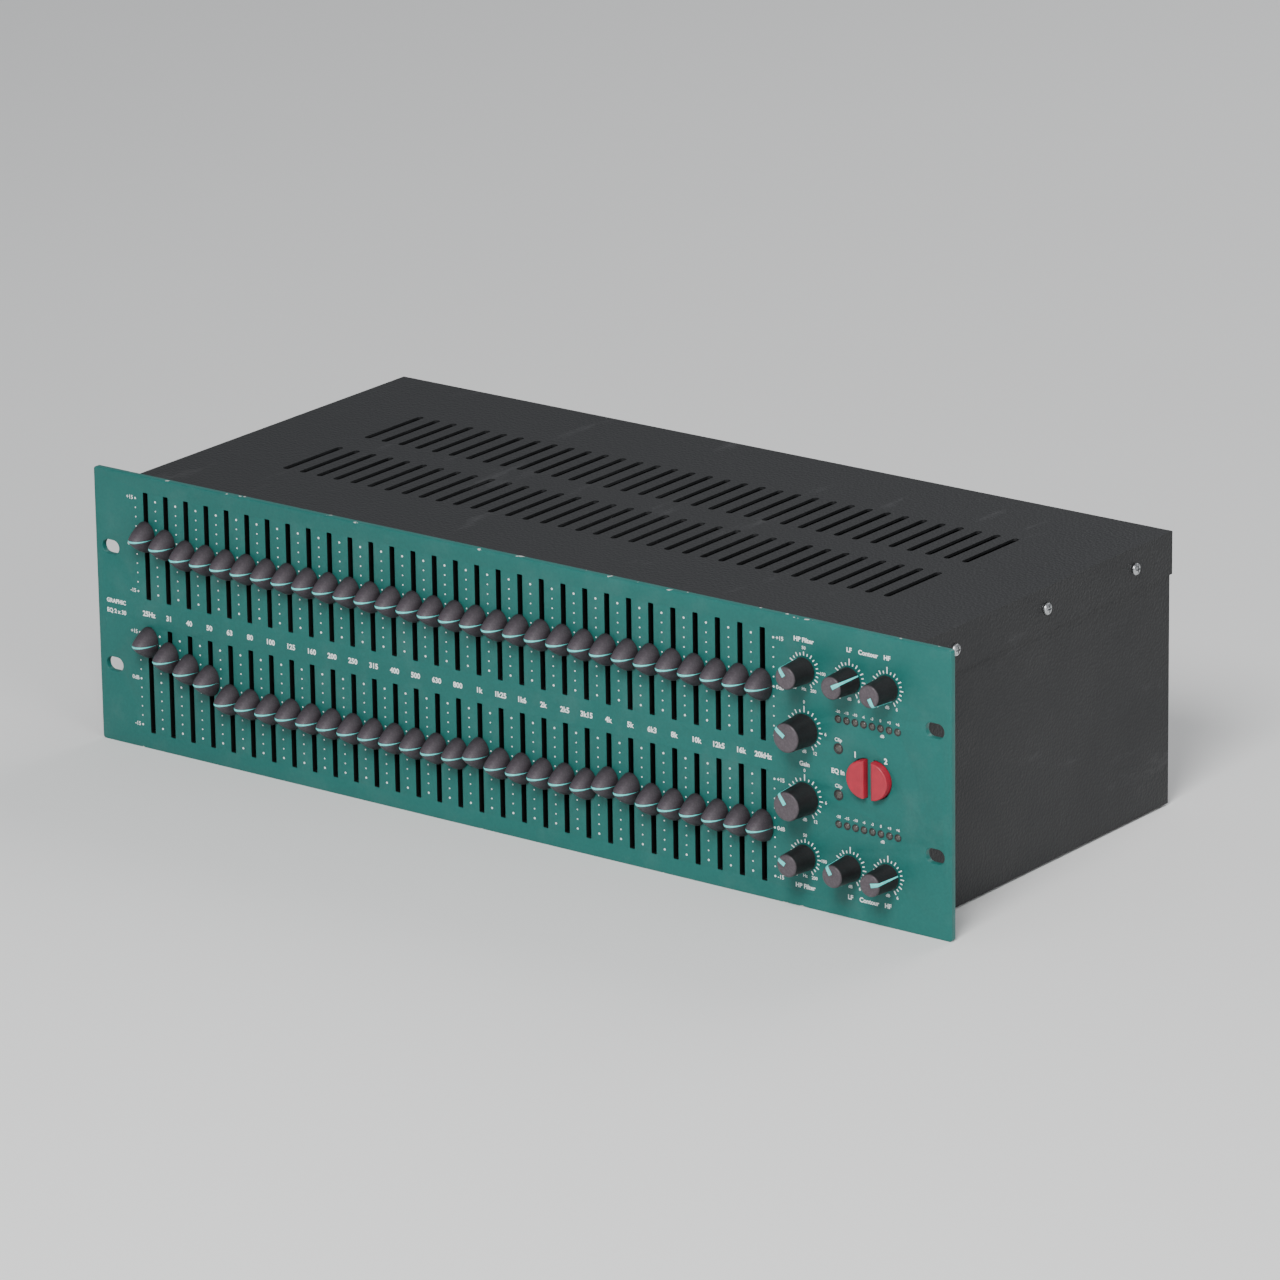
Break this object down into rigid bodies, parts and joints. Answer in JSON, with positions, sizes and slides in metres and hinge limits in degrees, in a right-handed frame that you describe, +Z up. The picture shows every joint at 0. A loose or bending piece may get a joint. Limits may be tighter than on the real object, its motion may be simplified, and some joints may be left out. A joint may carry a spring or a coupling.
{
  "type": "graphic equalizer",
  "caption": "Rack-mount graphic equaliser: rows of slide faders on a painted panel, with rotary gain and filter knobs, bypass buttons and rear sockets on a steel chassis.",
  "frame": {"origin": "middle of the four rack slots, on the rear face of the front panel", "axes": "+X along the panel to the right seen from the front, +Y to the rear, +Z up"},
  "size_m": [0.4826, 0.2246, 0.1324],
  "materials": {
    "panel_paint": "satin teal enamel",
    "chassis_paint": "textured black powder coat",
    "zinc_steel": "zinc-plated steel",
    "cap_plastic": "fine-grained dark grey plastic",
    "knob_plastic": "satin dark grey plastic",
    "button_red": "satin red plastic",
    "pointer_cyan": "pale cyan inlay",
    "legend_white": "white screen print",
    "led_lens": "unlit smoked lens",
    "circuit_board": "solder resist",
    "transformer_winding": "varnished winding",
    "connector_black": "moulded black plastic",
    "connector_pins": "plated pins",
    "switch_white": "moulded plastic"
  },
  "bodies": {
    "root": {"front_panel": "panel_paint", "sub_panel": "zinc_steel", "chassis_tray": "chassis_paint", "top_cover": "chassis_paint", "rear_panel": "chassis_paint", "slide_pot_bodies": "zinc_steel", "rotary_pot_bodies": "zinc_steel", "button_switch_bodies": "switch_white", "signal_leds": "led_lens", "front_board": "circuit_board", "main_board": "circuit_board", "transformer": "transformer_winding", "mains_inlet": "connector_black", "fuse_holder": "connector_black", "power_switch_frame": "connector_black", "xlr_inputs": "connector_black", "xlr_outputs": "connector_black", "spacers": "zinc_steel", "screws": "zinc_steel"},
    "highpass_knob_upper": {"highpass_knob_upper": "knob_plastic"},
    "gain_knob_upper": {"gain_knob_upper": "knob_plastic"},
    "gain_knob_lower": {"gain_knob_lower": "knob_plastic"},
    "highpass_knob_lower": {"highpass_knob_lower": "knob_plastic"},
    "lf_knob_upper": {"lf_knob_upper": "knob_plastic"},
    "lf_knob_lower": {"lf_knob_lower": "knob_plastic"},
    "hf_knob_upper": {"hf_knob_upper": "knob_plastic"},
    "hf_knob_lower": {"hf_knob_lower": "knob_plastic"},
    "eq_in_button_1": {"eq_in_button_1": "button_red"},
    "eq_in_button_2": {"eq_in_button_2": "button_red"},
    "power_rocker": {"power_rocker": "connector_black"},
    "fader_25hz": {"fader_25hz": "cap_plastic"},
    "fader_31hz": {"fader_31hz": "cap_plastic"},
    "fader_40hz": {"fader_40hz": "cap_plastic"},
    "fader_50hz": {"fader_50hz": "cap_plastic"},
    "fader_63hz": {"fader_63hz": "cap_plastic"},
    "fader_80hz": {"fader_80hz": "cap_plastic"},
    "fader_100hz": {"fader_100hz": "cap_plastic"},
    "fader_125hz": {"fader_125hz": "cap_plastic"},
    "fader_160hz": {"fader_160hz": "cap_plastic"},
    "fader_200hz": {"fader_200hz": "cap_plastic"},
    "fader_250hz": {"fader_250hz": "cap_plastic"},
    "fader_315hz": {"fader_315hz": "cap_plastic"},
    "fader_400hz": {"fader_400hz": "cap_plastic"},
    "fader_500hz": {"fader_500hz": "cap_plastic"},
    "fader_630hz": {"fader_630hz": "cap_plastic"},
    "fader_800hz": {"fader_800hz": "cap_plastic"},
    "fader_1khz": {"fader_1khz": "cap_plastic"},
    "fader_1k25hz": {"fader_1k25hz": "cap_plastic"},
    "fader_1k6hz": {"fader_1k6hz": "cap_plastic"},
    "fader_2khz": {"fader_2khz": "cap_plastic"},
    "fader_2k5hz": {"fader_2k5hz": "cap_plastic"},
    "fader_3k15hz": {"fader_3k15hz": "cap_plastic"},
    "fader_4khz": {"fader_4khz": "cap_plastic"},
    "fader_5khz": {"fader_5khz": "cap_plastic"},
    "fader_6k3hz": {"fader_6k3hz": "cap_plastic"},
    "fader_8khz": {"fader_8khz": "cap_plastic"},
    "fader_10khz": {"fader_10khz": "cap_plastic"},
    "fader_12k5hz": {"fader_12k5hz": "cap_plastic"},
    "fader_16khz": {"fader_16khz": "cap_plastic"},
    "fader_20khz": {"fader_20khz": "cap_plastic"}
  },
  "joints": [
    {"name": "highpass_knob_upper_turn", "type": "hinge", "parent": "root", "child": "highpass_knob_upper", "pos_m": [0.1635, 0, 0.043], "axis": [0, 1, 0], "range_deg": [-115, 185]},
    {"name": "gain_knob_upper_turn", "type": "hinge", "parent": "root", "child": "gain_knob_upper", "pos_m": [0.1635, 0, 0.0157], "axis": [0, 1, 0], "range_deg": [-96, 204]},
    {"name": "gain_knob_lower_turn", "type": "hinge", "parent": "root", "child": "gain_knob_lower", "pos_m": [0.1635, 0, -0.0157], "axis": [0, 1, 0], "range_deg": [-115, 185]},
    {"name": "highpass_knob_lower_turn", "type": "hinge", "parent": "root", "child": "highpass_knob_lower", "pos_m": [0.1635, 0, -0.043], "axis": [0, 1, 0], "range_deg": [-90, 210]},
    {"name": "lf_knob_upper_turn", "type": "hinge", "parent": "root", "child": "lf_knob_upper", "pos_m": [0.1877, 0, 0.043], "axis": [0, 1, 0], "range_deg": [-210, 90]},
    {"name": "lf_knob_lower_turn", "type": "hinge", "parent": "root", "child": "lf_knob_lower", "pos_m": [0.1877, 0, -0.043], "axis": [0, 1, 0], "range_deg": [-119, 181]},
    {"name": "hf_knob_upper_turn", "type": "hinge", "parent": "root", "child": "hf_knob_upper", "pos_m": [0.2077, 0, 0.043], "axis": [0, 1, 0], "range_deg": [-300, 0]},
    {"name": "hf_knob_lower_turn", "type": "hinge", "parent": "root", "child": "hf_knob_lower", "pos_m": [0.2077, 0, -0.043], "axis": [0, 1, 0], "range_deg": [-225, 75]},
    {"name": "eq_in_button_1_press", "type": "slide", "parent": "root", "child": "eq_in_button_1", "axis": [0, 1, 0], "range_m": [0, 0.003], "stiffness_N_per_m": 300},
    {"name": "eq_in_button_2_press", "type": "slide", "parent": "root", "child": "eq_in_button_2", "axis": [0, 1, 0], "range_m": [0, 0.003], "stiffness_N_per_m": 300},
    {"name": "power_rocker_tip", "type": "hinge", "parent": "root", "child": "power_rocker", "pos_m": [0.098, 0.198, 0.004], "axis": [1, 0, 0], "range_deg": [0, 16]},
    {"name": "fader_25hz_slide", "type": "slide", "parent": "root", "child": "fader_25hz", "axis": [0, 0, 1], "range_m": [-0.0273, 0.00375]},
    {"name": "fader_31hz_slide", "type": "slide", "parent": "root", "child": "fader_31hz", "axis": [0, 0, 1], "range_m": [-0.0255, 0.009]},
    {"name": "fader_40hz_slide", "type": "slide", "parent": "root", "child": "fader_40hz", "axis": [0, 0, 1], "range_m": [-0.0225, 0.01245]},
    {"name": "fader_50hz_slide", "type": "slide", "parent": "root", "child": "fader_50hz", "axis": [0, 0, 1], "range_m": [-0.0225, 0.01545]},
    {"name": "fader_63hz_slide", "type": "slide", "parent": "root", "child": "fader_63hz", "axis": [0, 0, 1], "range_m": [-0.0225, 0.0225]},
    {"name": "fader_80hz_slide", "type": "slide", "parent": "root", "child": "fader_80hz", "axis": [0, 0, 1], "range_m": [-0.0225, 0.0225]},
    {"name": "fader_100hz_slide", "type": "slide", "parent": "root", "child": "fader_100hz", "axis": [0, 0, 1], "range_m": [-0.0225, 0.0225]},
    {"name": "fader_125hz_slide", "type": "slide", "parent": "root", "child": "fader_125hz", "axis": [0, 0, 1], "range_m": [-0.0225, 0.0225]},
    {"name": "fader_160hz_slide", "type": "slide", "parent": "root", "child": "fader_160hz", "axis": [0, 0, 1], "range_m": [-0.0225, 0.0225]},
    {"name": "fader_200hz_slide", "type": "slide", "parent": "root", "child": "fader_200hz", "axis": [0, 0, 1], "range_m": [-0.0225, 0.0225]},
    {"name": "fader_250hz_slide", "type": "slide", "parent": "root", "child": "fader_250hz", "axis": [0, 0, 1], "range_m": [-0.0225, 0.0225]},
    {"name": "fader_315hz_slide", "type": "slide", "parent": "root", "child": "fader_315hz", "axis": [0, 0, 1], "range_m": [-0.0225, 0.0225]},
    {"name": "fader_400hz_slide", "type": "slide", "parent": "root", "child": "fader_400hz", "axis": [0, 0, 1], "range_m": [-0.0225, 0.0225]},
    {"name": "fader_500hz_slide", "type": "slide", "parent": "root", "child": "fader_500hz", "axis": [0, 0, 1], "range_m": [-0.0225, 0.0225]},
    {"name": "fader_630hz_slide", "type": "slide", "parent": "root", "child": "fader_630hz", "axis": [0, 0, 1], "range_m": [-0.0225, 0.0225]},
    {"name": "fader_800hz_slide", "type": "slide", "parent": "root", "child": "fader_800hz", "axis": [0, 0, 1], "range_m": [-0.0225, 0.0225]},
    {"name": "fader_1khz_slide", "type": "slide", "parent": "root", "child": "fader_1khz", "axis": [0, 0, 1], "range_m": [-0.0225, 0.01995]},
    {"name": "fader_1k25hz_slide", "type": "slide", "parent": "root", "child": "fader_1k25hz", "axis": [0, 0, 1], "range_m": [-0.0225, 0.0225]},
    {"name": "fader_1k6hz_slide", "type": "slide", "parent": "root", "child": "fader_1k6hz", "axis": [0, 0, 1], "range_m": [-0.0225, 0.0225]},
    {"name": "fader_2khz_slide", "type": "slide", "parent": "root", "child": "fader_2khz", "axis": [0, 0, 1], "range_m": [-0.0225, 0.0225]},
    {"name": "fader_2k5hz_slide", "type": "slide", "parent": "root", "child": "fader_2k5hz", "axis": [0, 0, 1], "range_m": [-0.0225, 0.0225]},
    {"name": "fader_3k15hz_slide", "type": "slide", "parent": "root", "child": "fader_3k15hz", "axis": [0, 0, 1], "range_m": [-0.0225, 0.0225]},
    {"name": "fader_4khz_slide", "type": "slide", "parent": "root", "child": "fader_4khz", "axis": [0, 0, 1], "range_m": [-0.0225, 0.0195]},
    {"name": "fader_5khz_slide", "type": "slide", "parent": "root", "child": "fader_5khz", "axis": [0, 0, 1], "range_m": [-0.0225, 0.01995]},
    {"name": "fader_6k3hz_slide", "type": "slide", "parent": "root", "child": "fader_6k3hz", "axis": [0, 0, 1], "range_m": [-0.0225, 0.0225]},
    {"name": "fader_8khz_slide", "type": "slide", "parent": "root", "child": "fader_8khz", "axis": [0, 0, 1], "range_m": [-0.0225, 0.0225]},
    {"name": "fader_10khz_slide", "type": "slide", "parent": "root", "child": "fader_10khz", "axis": [0, 0, 1], "range_m": [-0.0225, 0.0225]},
    {"name": "fader_12k5hz_slide", "type": "slide", "parent": "root", "child": "fader_12k5hz", "axis": [0, 0, 1], "range_m": [-0.0225, 0.0225]},
    {"name": "fader_16khz_slide", "type": "slide", "parent": "root", "child": "fader_16khz", "axis": [0, 0, 1], "range_m": [-0.0225, 0.0225]},
    {"name": "fader_20khz_slide", "type": "slide", "parent": "root", "child": "fader_20khz", "axis": [0, 0, 1], "range_m": [-0.0225, 0.0225]}
  ]
}
